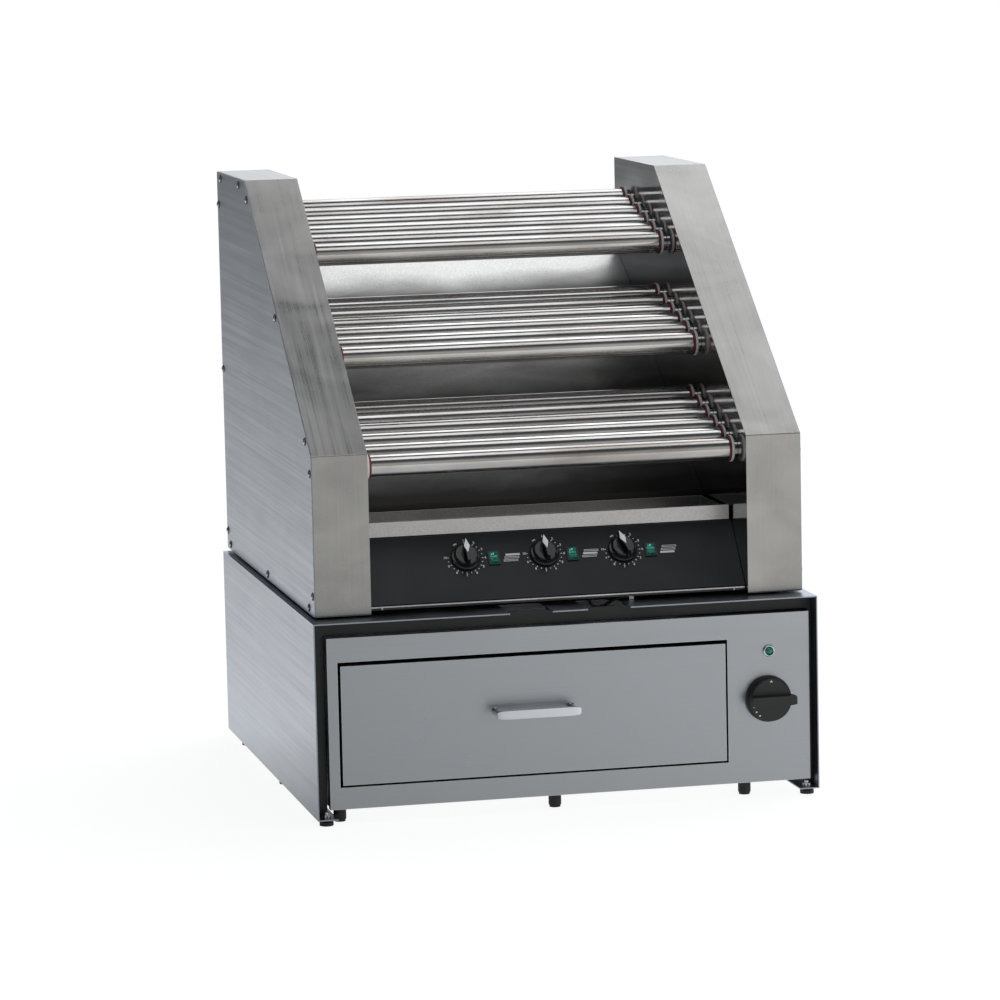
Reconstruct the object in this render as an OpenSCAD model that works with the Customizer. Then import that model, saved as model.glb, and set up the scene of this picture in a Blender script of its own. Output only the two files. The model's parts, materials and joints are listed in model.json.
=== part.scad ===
// Three-tier hot dog roller grill on a bun warmer stand.
// Every coordinate is in millimetres: +X to the operator's right, +Y to the back, +Z up.
// Depths are measured from the stand's front edge, and place() moves the finished
// piece so that the origin is on the floor, in the middle of the whole object.

/* [Stand] */
// Width of the stand over its side sheets
stand_w = 660; // [640:1:700]
// Depth of the stand from its front edge to its back edge
stand_d = 680; // [670:1:720]
// Height of the stand's top sheet above the floor
stand_h = 260; // [256:1:280]
// Thickness of the stand's sheet
stand_sheet = 1.5; // [1:0.1:2]

/* [Grill] */
// Distance from the middle of the grill to a side cover's outer face
grill_half_w = 321; // [316:0.5:324]
// Width of one side housing
housing_w = 73; // [70:0.5:78]
// Depth of the housings' front face behind the stand's front edge
grill_front = 36; // [30:1:45]
// Depth of the housings' back face behind the stand's front edge
grill_back = 694; // [692:1:720]
// Height of the top of the housings above the floor
grill_top = 790; // [785:1:810]
// Height of the crease where the sloping front meets the upright front
knee_h = 468; // [455:1:480]
// Depth at which the sloping front meets the flat top
slope_end = 475.5; // [460:0.5:485]
// Thickness of the grill's sheet
grill_sheet = 1.2; // [0.8:0.1:1.4]

/* [Rollers] */
// Outside diameter of a roller
roller_d = 30; // [26:0.5:31]
// Distance between neighbouring rollers of one tier
roller_pitch = 39.4; // [37.5:0.1:40]
// Slope of a tier, rising to the back
tier_slope = 13.6; // [12:0.1:16]
// Depth of the lowest tier's front roller
first_roller_y = 85; // [84:0.5:90]
// Height of the lowest tier's front roller
first_roller_z = 446; // [442:0.5:448]
// Step back from one tier to the next
tier_step_y = 169; // [168:0.5:171]
// Step up from one tier to the next
tier_step_z = 122; // [120:0.5:124]

/* [Controls] */
// Diameter of a heat knob's skirt
heat_knob_d = 38; // [30:0.5:38]
// Distance between neighbouring heat knobs
heat_knob_pitch = 104; // [100:0.5:110]
// Diameter of the bun warmer's knob
warmer_knob_d = 60; // [50:1:62]

/* [Bun warmer] */
// Width of the bun warmer's cabinet
cabinet_w = 633; // [630:0.5:634]
// Height of the bun warmer's cabinet
cabinet_h = 220; // [218:0.5:221]
// Depth of the bun warmer's cabinet behind its front panel
cabinet_d = 630; // [620:1:640]
// Width of the drawer opening
opening_w = 510; // [508:0.5:512]
// Height of the drawer opening
opening_h = 160.5; // [160:0.5:164]
// Distance between the outer ends of the drawer's handle
handle_w = 110; // [90:1:130]

/* [Hidden] */

$fn = 48;
eps = 0.01;
touch_gap = 0.1;    // between sheets that lie against each other
turn_gap = 0.05;    // around a shaft that turns in a hole
free_gap = 0.4;     // between a moving piece and a fixed one

// Colours
stainless = [0.72, 0.72, 0.71];
stainless_side = [0.60, 0.64, 0.68];
polished = [0.85, 0.86, 0.87];
black = [0.10, 0.11, 0.12];
steel_dark = [0.45, 0.46, 0.47];
white_ptfe = [0.92, 0.91, 0.88];
seal_red = [0.35, 0.06, 0.09];
lens_green = [0.02, 0.45, 0.35];

// The whole object's depth runs from the drawer's handle to the housings' back.
cabinet_front = 10;
drawer_face = cabinet_front - 0.4;
handle_reach = 35.6;
mid_y = (grill_back + drawer_face - handle_reach) / 2;

module place() {
    translate([0, -mid_y, 0]) children();
}

// ---- General shapes --------------------------------------------------------

// A box given by its two corners
module box(a, b) {
    translate(a) cube(b - a);
}

// A depth-height outline made solid from x0 to x1
module along_x(x0, x1) {
    translate([x0, 0, 0]) rotate([90, 0, 90]) linear_extrude(height = x1 - x0) children();
}

// A rod along X
module rod_x(x0, x1, r) {
    translate([x0, 0, 0]) rotate([0, 90, 0]) cylinder(h = x1 - x0, r = r);
}

// A rod along Y
module rod_y(y0, y1, r) {
    translate([0, y1, 0]) rotate([90, 0, 0]) cylinder(h = y1 - y0, r = r);
}

module mirrored_pair() {
    children();
    mirror([1, 0, 0]) children();
}

// Unit vector along a, and the same turned a quarter to the left
function unit(a) = a / norm(a);
function left_of(a) = [-a.y, a.x];

// Where the line through p along u meets the line through q along v
function meet(p, u, q, v) =
    let (t = ((q.x - p.x) * v.y - (q.y - p.y) * v.x) / (u.x * v.y - u.y * v.x)) p + t * u;

// A closed outline, listed anticlockwise, moved inwards by d on every side
function inset(pts, d) =
    let (n = len(pts))
    [for (i = [0 : n - 1])
        let (a = pts[(i + n - 1) % n], b = pts[i], c = pts[(i + 1) % n],
             u = unit(b - a), v = unit(c - b))
        meet(a + d * left_of(u), u, b + d * left_of(v), v)];

// The same outline with its corners rounded to radius r, by arcs of a few short sides
function rounded(pts, r) =
    let (n = len(pts), steps = 5)
    [for (i = [0 : n - 1])
        let (a = pts[(i + n - 1) % n], b = pts[i], c = pts[(i + 1) % n],
             u = unit(b - a), v = unit(c - b),
             turn = acos(u * v), cut = r * tan(turn / 2),
             centre = b - cut * u + r * left_of(u))
        for (k = [0 : steps])
            let (bend = turn * k / steps, out = -left_of(u))
            centre + r * (cos(bend) * out + sin(bend) * u)];

// ---- Stand -----------------------------------------------------------------

foot_h = 8;                  // the stand's sheets end this far above the floor
flange_w = 26;               // side sheets turn in by this much at the bottom
notch_w = 56;                // cable notches in the stand's top
notch_d = 70;
notch_x = [-48, 54];

module stand_cover() {
    half = stand_w / 2;
    color(stainless_side) place() difference() {
        union() {
            box([-half, 0, stand_h - stand_sheet], [half, stand_d, stand_h]);
            mirrored_pair() {
                box([-half, 0, foot_h], [-half + stand_sheet, stand_d, stand_h]);
                box([-half, 0, foot_h], [-half + flange_w, stand_d, foot_h + stand_sheet]);
            }
        }
        for (x = notch_x)
            box([x - notch_w / 2, -1, stand_h - 5], [x + notch_w / 2, notch_d, stand_h + 1]);
        for (p = stand_foot_places())
            translate([p.x, p.y, foot_h - 1]) cylinder(h = 5, r = foot_stud_r + turn_gap);
    }
}

// The black frame that closes the gap around the bun warmer, set back behind its front
frame_y = 24;
frame_t = 1.5;
frame_depth = 20;

module stand_face_frame() {
    half = stand_w / 2 - stand_sheet - touch_gap;
    top = stand_h - stand_sheet - touch_gap;
    low = foot_h + stand_sheet + touch_gap;
    left = cabinet_x0 - 1.5;
    right = cabinet_x1 + 1.5;
    head = cabinet_z1 + 1.5;
    color(black) place() difference() {
        box([-half, frame_y, low], [half, frame_y + frame_depth, top]);
        box([left, frame_y - 1, low - 1], [right, frame_y + frame_depth + 1, head]);
        box([-half + frame_t, frame_y + frame_t, low - 1],
            [left - frame_t, frame_y + frame_depth + 1, top - frame_t]);
        box([right + frame_t, frame_y + frame_t, low - 1],
            [half - frame_t, frame_y + frame_depth + 1, top - frame_t]);
        box([left - frame_t - 1, frame_y + frame_t, head + frame_t],
            [right + frame_t + 1, frame_y + frame_depth + 1, top - frame_t]);
        for (x = notch_x)
            box([x - notch_w / 2, frame_y + frame_t, top - 5],
                [x + notch_w / 2, frame_y + frame_depth + 1, top + 1]);
    }
}

// Feet: six under the stand, six under the bun warmer, four pads under the grill
foot_r = 9;
foot_stud_r = 3;
foot_nut_r = 5;
warmer_foot_r = 8.2;
pad_t = 2;

function stand_foot_places() =
    [for (side = [-1, 1]) for (y = [14, 300, 590]) [side * (stand_w / 2 - flange_w / 2), y]];
function warmer_foot_places() =
    [for (x = [-295.5, -14, 239]) for (y = [36, cabinet_d - 30]) [x, y]];

module feet() {
    color(black) place() {
        for (p = stand_foot_places()) translate([p.x, p.y, 0]) {
            cylinder(h = 5, r = foot_r);
            cylinder(h = foot_h - touch_gap, r = 5);
            cylinder(h = foot_h + stand_sheet + 8, r = foot_stud_r);
            translate([0, 0, foot_h + stand_sheet + turn_gap]) cylinder(h = 4, r = foot_nut_r);
        }
        for (p = warmer_foot_places()) translate([p.x, p.y, 0]) {
            cylinder(h = 3, r = warmer_foot_r - 1);
            translate([0, 0, 3 - eps])
                cylinder(h = cabinet_z0 + cabinet_sheet - 3 + touch_gap / 2, r = warmer_foot_r);
        }
        mirrored_pair() for (y = [70, grill_back - 60])
            translate([grill_half_w - housing_w / 2, y, stand_h]) cylinder(h = pad_t, r = 12);
    }
}

// ---- Bun warmer cabinet ----------------------------------------------------

cabinet_mid = 4.5;
cabinet_x0 = cabinet_mid - cabinet_w / 2;
cabinet_x1 = cabinet_mid + cabinet_w / 2;
cabinet_z0 = 19.5;
cabinet_z1 = cabinet_z0 + cabinet_h;
cabinet_sheet = 1.2;
panel_lip = 12;                      // depth of the folds around the front panel
opening_x0 = cabinet_x0 + 13.5;
opening_x1 = opening_x0 + opening_w;
opening_z0 = cabinet_z0 + 28;
opening_z1 = opening_z0 + opening_h;
partition_x = opening_x1 + 4;        // wall between the drawer and the wiring bay
warmer_knob_at = [265, 128.5];
warmer_lamp_at = [267, 190.5];

module warmer_cabinet() {
    s = cabinet_sheet;
    y0 = cabinet_front + s + touch_gap;
    y1 = cabinet_front + cabinet_d;
    color(stainless) place() difference() {
        box([cabinet_x0 + s + touch_gap, y0, cabinet_z0 + s + touch_gap],
            [cabinet_x1 - s - touch_gap, y1, cabinet_z1 - s - touch_gap]);
        box([cabinet_x0 + 2 * s + touch_gap, y0 - 1, cabinet_z0 + 2 * s + touch_gap],
            [partition_x, y1 - s, cabinet_z1 - 2 * s - touch_gap]);
        box([partition_x + s, y0 - 1, cabinet_z0 + 2 * s + touch_gap],
            [cabinet_x1 - 2 * s - touch_gap, y1 - s, cabinet_z1 - 2 * s - touch_gap]);
        for (x = [partition_x + 30 : 12 : cabinet_x1 - 30])
            box([x, y1 - 2 * s, cabinet_z0 + 60], [x + 5, y1 + 1, cabinet_z0 + 150]);
    }
}

module warmer_front() {
    s = cabinet_sheet;
    y0 = cabinet_front;
    color(stainless) place() difference() {
        union() {
            difference() {
                box([cabinet_x0, y0, cabinet_z0], [cabinet_x1, y0 + panel_lip, cabinet_z1]);
                box([cabinet_x0 + s, y0 + s, cabinet_z0 + s],
                    [cabinet_x1 - s, y0 + panel_lip + 1, cabinet_z1 - s]);
            }
            box([opening_x0 - s, y0 + s - eps, opening_z0 - s],
                [opening_x1 + s, y0 + panel_lip, opening_z1 + s]);
        }
        box([opening_x0, y0 - 1, opening_z0], [opening_x1, y0 + panel_lip + 1, opening_z1]);
        translate([warmer_knob_at.x, 0, warmer_knob_at.y]) rod_y(y0 - 1, y0 + s + 1, 5.5);
        translate([warmer_lamp_at.x, 0, warmer_lamp_at.y]) rod_y(y0 - 1, y0 + s + 1, 5.5);
    }
}

// Heating element: one long hairpin lying on the cabinet's floor
heater_r = 4;
heater_z = 31;
heater_run = 90;             // distance between the hairpin's legs

module warmer_heater() {
    mid = (opening_x0 + opening_x1) / 2;
    color(steel_dark) place() translate([mid, 0, heater_z]) {
        for (side = [-1, 1]) {
            translate([side * heater_run, 0, 0]) rod_y(120, 500, heater_r);
            translate([side * heater_run, 0, 0]) rod_y(88, 120 + eps, heater_r + 1.5);
            for (y = [150, 480])
                box([side * heater_run - 7, y - 4, cabinet_z0 + 2 * cabinet_sheet + 0.2 - heater_z],
                    [side * heater_run + 7, y + 4, -heater_r + 1]);
        }
        translate([0, 500 - eps, 0]) rotate_extrude(angle = 180)
            translate([heater_run, 0]) circle(r = heater_r);
    }
}

module warmer_lamp_bezel() {
    color(polished) place() translate([warmer_lamp_at.x, 0, warmer_lamp_at.y]) difference() {
        union() {
            rod_y(cabinet_front - 3, cabinet_front, 8);
            rod_y(cabinet_front - eps, cabinet_front + 20, 5.3);
        }
        rod_y(cabinet_front - 4, cabinet_front + 14, 4.2);
    }
}

module warmer_lamp_lens() {
    color(lens_green) place() translate([warmer_lamp_at.x, 0, warmer_lamp_at.y]) {
        rod_y(cabinet_front - 4.5, cabinet_front + 13, 4.1);
        rod_y(cabinet_front - 4.4, cabinet_front - 3.1, 5.2);
    }
}

// ---- Drawer ----------------------------------------------------------------

drawer_x0 = opening_x0 + 3.5;
drawer_x1 = opening_x1 - 2.5;
drawer_z0 = opening_z0 + 2.6;
drawer_z1 = opening_z1 - 4.9;
drawer_t = 16;               // thickness of the drawer's folded front
tub_x0 = drawer_x0 + 18;
tub_x1 = drawer_x1 - 18;
tub_z0 = drawer_z0 + 4;
tub_z1 = drawer_z1 - 14;
tub_y0 = drawer_face + drawer_t + touch_gap;
tub_y1 = cabinet_d - 30;
rail_z = tub_z0 + 26;        // height of the flange that slides in the runner
rail_w = 16;
rail_t = 1.5;
runner_t = 1.2;
handle_mid = (drawer_x0 + drawer_x1) / 2 - 3;
handle_z = 134;
handle_bar_h = 11;
handle_bar_t = 6;
handle_leg_r = 4.5;

module drawer_front() {
    s = cabinet_sheet;
    color(stainless) place() difference() {
        box([drawer_x0, drawer_face, drawer_z0], [drawer_x1, drawer_face + drawer_t, drawer_z1]);
        box([drawer_x0 + s, drawer_face + s, drawer_z0 + s],
            [drawer_x1 - s, drawer_face + drawer_t + 1, drawer_z1 - s]);
    }
}

module drawer_tub() {
    s = cabinet_sheet;
    color(stainless) place() {
        difference() {
            box([tub_x0, tub_y0, tub_z0], [tub_x1, tub_y1, tub_z1]);
            box([tub_x0 + s, tub_y0 + s, tub_z0 + s], [tub_x1 - s, tub_y1 - s, tub_z1 + 1]);
        }
        // front flange that the drawer's front is welded to, and the two sliding flanges
        box([tub_x0 - 10, tub_y0, tub_z0 + 10], [tub_x0 + eps, tub_y0 + s, tub_z1 - 10]);
        box([tub_x1 - eps, tub_y0, tub_z0 + 10], [tub_x1 + 10, tub_y0 + s, tub_z1 - 10]);
        box([tub_x0 - rail_w, tub_y0 + 12, rail_z], [tub_x0 + eps, tub_y1 - 4, rail_z + rail_t]);
        box([tub_x1 - eps, tub_y0 + 12, rail_z], [tub_x1 + rail_w, tub_y1 - 4, rail_z + rail_t]);
    }
}

// One fixed runner: a channel open towards the drawer, on two tabs from the wall.
// x_tip is where the sliding flange ends, dir points from the drawer to the wall.
module runner(x_tip, x_wall, dir) {
    web = x_tip + dir * free_gap;
    lip = x_tip - dir * (rail_w - 4);
    lo = rail_z - free_gap;
    hi = rail_z + rail_t + free_gap;
    y0 = tub_y0 + 6;
    module slab(xa, xb, za, zb, ya, yb)
        box([min(xa, xb), ya, za], [max(xa, xb), yb, zb]);
    slab(lip, web + dir * runner_t, lo - runner_t, lo, y0, tub_y1);
    slab(lip, web + dir * runner_t, hi, hi + runner_t, y0, tub_y1);
    slab(web, web + dir * runner_t, lo - runner_t, hi + runner_t, y0, tub_y1);
    for (y = [y0 + 30, tub_y1 - 60])
        slab(web, x_wall - dir * touch_gap, lo - 6, hi + 6, y, y + 24);
}

module drawer_runners() {
    color(steel_dark) place() {
        runner(tub_x0 - rail_w, cabinet_x0 + 2 * cabinet_sheet + touch_gap, -1);
        runner(tub_x1 + rail_w, partition_x, 1);
    }
}

module drawer_handle() {
    y1 = drawer_face;
    y0 = drawer_face - handle_reach;
    color(polished) place() translate([handle_mid, 0, handle_z]) {
        box([-handle_w / 2 + 5, y0, -handle_bar_h / 2],
            [handle_w / 2 - 5, y0 + handle_bar_t, handle_bar_h / 2]);
        for (side = [-1, 1]) translate([side * (handle_w / 2 - handle_leg_r - 1), 0, 0]) {
            rod_y(y0 + 1, y1 - 3, handle_leg_r);
            rod_y(y1 - 4, y1, handle_leg_r + 1);
        }
    }
}

// A big knob that turns about Y: a skirt, a straight bar to hold, and its spindle
module warmer_knob() {
    y0 = cabinet_front - 0.5;
    r = warmer_knob_d / 2;
    color(black) place() translate([warmer_knob_at.x, 0, warmer_knob_at.y]) {
        rod_y(y0 - 6, y0, r);
        rod_y(y0 - 17, y0 - 6 + eps, r - 2);
        intersection() {
            box([-r + 1, y0 - 27, -7], [r + 2, y0 - 17 + eps, 7]);
            rod_y(y0 - 28, y0, r + 1);
        }
        rod_y(y0 - eps, y0 + 30, 3);
    }
}

// ---- Grill housings --------------------------------------------------------

housing_bottom = stand_h + pad_t;
inner_wall = grill_half_w - housing_w;          // face that the rollers run between
plate_t = 1.5;
wrap_bend = 2.5;
wrap_flange = 14;
cover_gap = 0.6;

// Side outline of a housing as [depth, height], anticlockwise
function housing_outline() =
    [[grill_front, housing_bottom], [grill_back, housing_bottom], [grill_back, grill_top],
     [slope_end, grill_top], [grill_front, knee_h]];

// A place beside side i of the outline, a fraction t along it and d inside it
function beside(i, t, d) =
    let (p = housing_outline(), a = p[i], b = p[(i + 1) % len(p)])
    a + t * (b - a) + d * left_of(unit(b - a));

screw_inset = 9;
function screw_places() = concat(
    [for (t = [0.055, 0.51, 0.957]) beside(0, t, screw_inset)],
    [for (t = [0.05, 0.48, 0.914]) beside(1, t, screw_inset)],
    [for (t = [0.14, 0.80]) beside(2, t, screw_inset)],
    [for (t = [0.055, 0.495, 0.93]) beside(3, t, screw_inset)],
    [for (t = [0.11, 0.87]) beside(4, t, screw_inset)]);

// Folded sheet that goes round a housing, with a flange behind the side cover
module wrap() {
    s = grill_sheet;
    x0 = -grill_half_w + s + touch_gap;
    color(stainless) place() difference() {
        along_x(x0, -inner_wall) polygon(rounded(housing_outline(), wrap_bend));
        along_x(x0 + s, -inner_wall + 1) polygon(rounded(inset(housing_outline(), s), wrap_bend - s));
        along_x(x0 - 1, x0 + s + 1)
            polygon(rounded(inset(housing_outline(), wrap_flange), wrap_bend));
        for (p = screw_places()) translate([0, p.x, p.y]) rod_x(x0 - 1, x0 + s + 1, screw_r + touch_gap);
    }
}

module side_cover() {
    x0 = -grill_half_w;
    color(stainless_side) place() difference() {
        along_x(x0, x0 + grill_sheet) polygon(rounded(inset(housing_outline(), cover_gap), wrap_bend));
        for (p = screw_places())
            translate([0, p.x, p.y]) rod_x(x0 - 1, x0 + grill_sheet + 1, screw_r + touch_gap);
    }
}

// Inner wall of a housing, which carries the rollers' bearings
bearing_r = 13;

module bearing_plate() {
    color(polished) place() difference() {
        along_x(-inner_wall - plate_t, -inner_wall)
            polygon(rounded(inset(housing_outline(), grill_sheet + touch_gap), wrap_bend));
        for (tier = [0 : 2]) for (i = [0 : 5])
            at_roller(tier, i) rod_x(-inner_wall - plate_t - 1, -inner_wall + 1, bearing_r + turn_gap);
    }
}

module left_wrap() { wrap(); }
module right_wrap() { mirror([1, 0, 0]) wrap(); }
module left_side_cover() { side_cover(); }
module right_side_cover() { mirror([1, 0, 0]) side_cover(); }
module left_bearing_plate() { bearing_plate(); }
module right_bearing_plate() { mirror([1, 0, 0]) bearing_plate(); }

// Back wall between the housings, with two groups of louvre slots
back_panel_top = 664;
pan_half = inner_wall - touch_gap;
pan_z = housing_bottom + 4;

module back_panel() {
    y1 = grill_back - 0.2;
    color(stainless) place() difference() {
        box([-pan_half, y1 - grill_sheet, pan_z], [pan_half, y1, back_panel_top]);
        for (side = [-1, 1]) for (k = [0 : 7])
            box([side * 130 - 45, y1 - 5, 340 + 16 * k], [side * 130 + 45, y1 + 1, 345 + 16 * k]);
    }
}

// Floor of the grill, with a low upstand along its front
module base_pan() {
    s = grill_sheet;
    y0 = panel_lip_y - 1;
    y1 = grill_back - 0.2 - s - touch_gap;
    color(stainless) place() {
        box([-pan_half, y0, pan_z], [pan_half, y1, pan_z + s]);
        box([-pan_half, y0, pan_z], [pan_half, y0 + s, panel_lip_z - 0.4]);
    }
}

// Sheets under the tiers that shed grease forwards: [front depth, front height,
// back depth, back height, depth of the fold at the front]
deflector_lines = [
    [248, 372, 413, 452, 20],
    [414, 480, 591, 582, 24],
    [592, 607, 691, 662, 21]];

module deflectors() {
    s = grill_sheet;
    color(stainless) place() for (d = deflector_lines)
        along_x(-pan_half, pan_half) polygon([
            [d[0], d[1]], [d[0], d[1] - d[4]], [d[0] + s, d[1] - d[4]],
            [d[0] + s, d[1] - s], [d[2], d[3] - s], [d[2], d[3]]]);
}

// ---- Control panel ---------------------------------------------------------

panel_angle = 50;                    // slope of the panel above level
panel_len = 101.5;
panel_top_y = 112.5;
panel_top_z = 349;
panel_lip_y = panel_top_y - panel_len * cos(panel_angle);
panel_lip_z = panel_top_z - panel_len * sin(panel_angle);
panel_t = 1.5;
panel_half = inner_wall - 0.5;
ledge_w = 12;
cheek_back = 244;
knob_x0 = -113;
knob_down = 36.5;                    // distance of a knob's centre below the panel's top edge
switch_dx = 37;                      // a switch stands this far to the right of its knob
switch_down = 39.5;
switch_w = 15;
switch_h = 20;
switch_body_w = 13;
switch_body_h = 18.4;
well_w = 10.8;
well_h = 17;
TIERS = ["bottom", "middle", "top"];

// The left knob is the top tier's, the right one the bottom tier's
function knob_x(tier) = knob_x0 + (2 - tier) * heat_knob_pitch;

// Local axes of the panel: X across, Y up the slope, Z out of it, zero at its top edge
module on_panel(x, down) {
    place() translate([x, panel_top_y, panel_top_z]) rotate([panel_angle, 0, 0])
        translate([0, -down, 0]) children();
}

module control_panel() {
    color(black) difference() {
        union() {
            on_panel(0, 0)
                box([-panel_half, -panel_len + 0.6, -panel_t], [panel_half, 0, 0]);
            place() {
                box([-panel_half, panel_top_y - 1, panel_top_z - panel_t],
                    [panel_half, panel_top_y + 20, panel_top_z]);
                mirrored_pair() {
                    box([-panel_half, panel_top_y, 290],
                        [-panel_half + panel_t, cheek_back, panel_top_z]);
                    box([-panel_half, panel_top_y, panel_top_z - panel_t],
                        [-panel_half + ledge_w, cheek_back, panel_top_z]);
                }
            }
        }
        for (tier = [0 : 2]) {
            on_panel(knob_x(tier), knob_down) translate([0, 0, -5]) cylinder(h = 10, r = 5.2);
            on_panel(knob_x(tier) + switch_dx, switch_down)
                box([-switch_body_w / 2 - 0.2, -switch_body_h / 2 - 0.2, -5],
                    [switch_body_w / 2 + 0.2, switch_body_h / 2 + 0.2, 5]);
        }
    }
}

// Tray that catches the grease and crumbs and slides out over the control panel
tray_y0 = 111.5;
tray_y1 = 240;
tray_half = 245;
tray_z0 = 350;
tray_z1 = 369;

module drip_tray() {
    s = grill_sheet;
    color(stainless) place() difference() {
        union() {
            box([-tray_half, tray_y0, tray_z0], [tray_half, tray_y0 + 8, tray_z1]);
            box([-tray_half + 2, tray_y0 + 1, tray_z0], [tray_half - 2, tray_y1, tray_z1 - 4]);
        }
        box([-tray_half + 2 + s, tray_y0 + 8, tray_z0 + s],
            [tray_half - 2 - s, tray_y1 - s, tray_z1 + 1]);
        box([-tray_half + s, tray_y0 + s, tray_z0 - 1], [tray_half - s, tray_y0 + 8 - s, tray_z1 - s]);
    }
}

thermostat_w = 34;
bush_r = 4.6;
spindle_r = 3;

// A thermostat behind a panel, in axes where Z points out of the panel's face
module thermostat() {
    difference() {
        union() {
            box([-thermostat_w / 2, -thermostat_w / 2, -30], [thermostat_w / 2, thermostat_w / 2, -4]);
            translate([0, 0, -4 - eps]) cylinder(h = 5 + eps, r = bush_r);
            for (side = [-1, 1])
                box([side * 10 - 3, -thermostat_w / 2 + 4, -38], [side * 10 + 3, -thermostat_w / 2 + 5, -29]);
        }
        translate([0, 0, -20]) cylinder(h = 22, r = spindle_r + turn_gap);
    }
}

module thermostats() {
    color(steel_dark) {
        for (tier = [0 : 2]) on_panel(knob_x(tier), knob_down) thermostat();
        place() translate([warmer_knob_at.x, cabinet_front, warmer_knob_at.y])
            rotate([90, 0, 0]) difference() {
                union() {
                    box([-22, -22, -44], [22, 22, -6]);
                    translate([0, 0, -6 - eps]) cylinder(h = 6, r = bush_r);
                }
                translate([0, 0, -34]) cylinder(h = 36, r = spindle_r + turn_gap);
            }
    }
}

// Fixed body of a rocker switch, with the rim that shows and the well for the rocker
module switch_bezels() {
    color(black) for (tier = [0 : 2]) on_panel(knob_x(tier) + switch_dx, switch_down)
        difference() {
            union() {
                box([-switch_w / 2, -switch_h / 2, touch_gap], [switch_w / 2, switch_h / 2, 1.8]);
                box([-switch_body_w / 2, -switch_body_h / 2, -18],
                    [switch_body_w / 2, switch_body_h / 2, touch_gap + eps]);
            }
            box([-well_w / 2, -well_h / 2, -9], [well_w / 2, well_h / 2, 3]);
            translate([0, 0, rocker_pivot]) rod_x(-switch_w, switch_w, rocker_pin_r + turn_gap);
        }
}

// Lit rocker, tipped to one side of its travel about a pivot below the rim
rocker_tip = 7;
rocker_pivot = -2;
rocker_w = 10;
rocker_pin_r = 1.2;

module rocker(tier) {
    color(lens_green) on_panel(knob_x(tier) + switch_dx, switch_down)
        translate([0, 0, rocker_pivot]) {
            rotate([-rocker_tip, 0, 0]) translate([0, 0, -rocker_pivot])
                along_x(-rocker_w / 2, rocker_w / 2)
                    polygon([[-7.5, 3.2], [-6.9, 3.7], [-3.4, 2.4], [0, 1.9], [3.4, 2.4], [6.9, 3.7],
                             [7.5, 3.2], [5.5, -5], [-5.5, -5]]);
            rod_x(-switch_body_w / 2 + 0.2, switch_body_w / 2 - 0.2, rocker_pin_r);
        }
}

module rocker_bottom() { rocker(0); }
module rocker_middle() { rocker(1); }
module rocker_top() { rocker(2); }

// Pointer knob on its spindle: a round skirt, a drum and a narrow bar to hold
knob_h = 20;
bar_w = 9;
knob_rest = [18, 5, 0];              // how far each tier's knob stands back from straight up

module heat_knob(tier) {
    r = heat_knob_d / 2;
    color(black) on_panel(knob_x(tier), knob_down) rotate([0, 0, knob_rest[tier]]) {
        translate([0, 0, 1.4]) cylinder(h = 2.6, r = r);
        translate([0, 0, 4 - eps]) cylinder(h = 5, r = r - 4);
        translate([0, 0, 4 - eps]) linear_extrude(height = knob_h - 4)
            polygon([[0, r - 1], [bar_w / 2, r - 7], [bar_w / 2, -r + 6], [bar_w / 3, -r + 2.5],
                     [-bar_w / 3, -r + 2.5], [-bar_w / 2, -r + 6], [-bar_w / 2, r - 7]]);
        translate([0, 0, -16]) cylinder(h = 18, r = spindle_r);
    }
}

module heat_knob_bottom() { heat_knob(0); }
module heat_knob_middle() { heat_knob(1); }
module heat_knob_top() { heat_knob(2); }

// ---- Rollers and their drive -----------------------------------------------

roller_gap = 0.4;                    // between a roller's end and its seal
seal_t = 2.6;
seal_r = 16.8;
bush_flange_t = 2;
bush_flange_r = 17.4;
bush_stand = 7;                      // how far a bearing's flange stands off the wall
bush_front = inner_wall - bush_stand - bush_flange_t;
journal_r = 9;
rod_bore_r = 6;
roller_wall = 1.5;
roller_half = bush_front - seal_t - roller_gap;
journal_left = inner_wall + 14;
journal_right = inner_wall + 50;

sprocket_teeth = 12;
sprocket_tip_r = 13.9;
sprocket_root_r = 11;
sprocket_x = inner_wall + 42;
sprocket_t = 3.2;
chain_t = 6;
chain_in_r = sprocket_tip_r + free_gap;
chain_out_r = chain_in_r + 4;
motor_drop = 70;                     // the gearmotor's shaft is this far below its tier's line

// Place of roller i of a tier, counted from the front
function roller_place(tier, i) =
    [first_roller_y + tier * tier_step_y + i * roller_pitch * cos(tier_slope),
     first_roller_z + tier * tier_step_z + i * roller_pitch * sin(tier_slope)];
function motor_place(tier) =
    (roller_place(tier, 0) + roller_place(tier, 5)) / 2
        + motor_drop * [sin(tier_slope), -cos(tier_slope)];

module at_roller(tier, i) {
    translate([0, roller_place(tier, i).x, roller_place(tier, i).y]) children();
}

module at_motor(tier) {
    translate([0, motor_place(tier).x, motor_place(tier).y]) children();
}

// Sprocket with straight-sided teeth, drawn by one loop round the shaft
module sprocket(x, hub_r) {
    step = 360 / sprocket_teeth;
    along_x(x - sprocket_t / 2, x + sprocket_t / 2) polygon([for (k = [0 : sprocket_teeth - 1])
        for (c = [[-0.30, sprocket_root_r], [-0.13, sprocket_tip_r],
                  [0.13, sprocket_tip_r], [0.30, sprocket_root_r]])
            c[1] * [cos((k + c[0]) * step), sin((k + c[0]) * step)]]);
    rod_x(x - 4, x + 4, hub_r);
}

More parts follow.
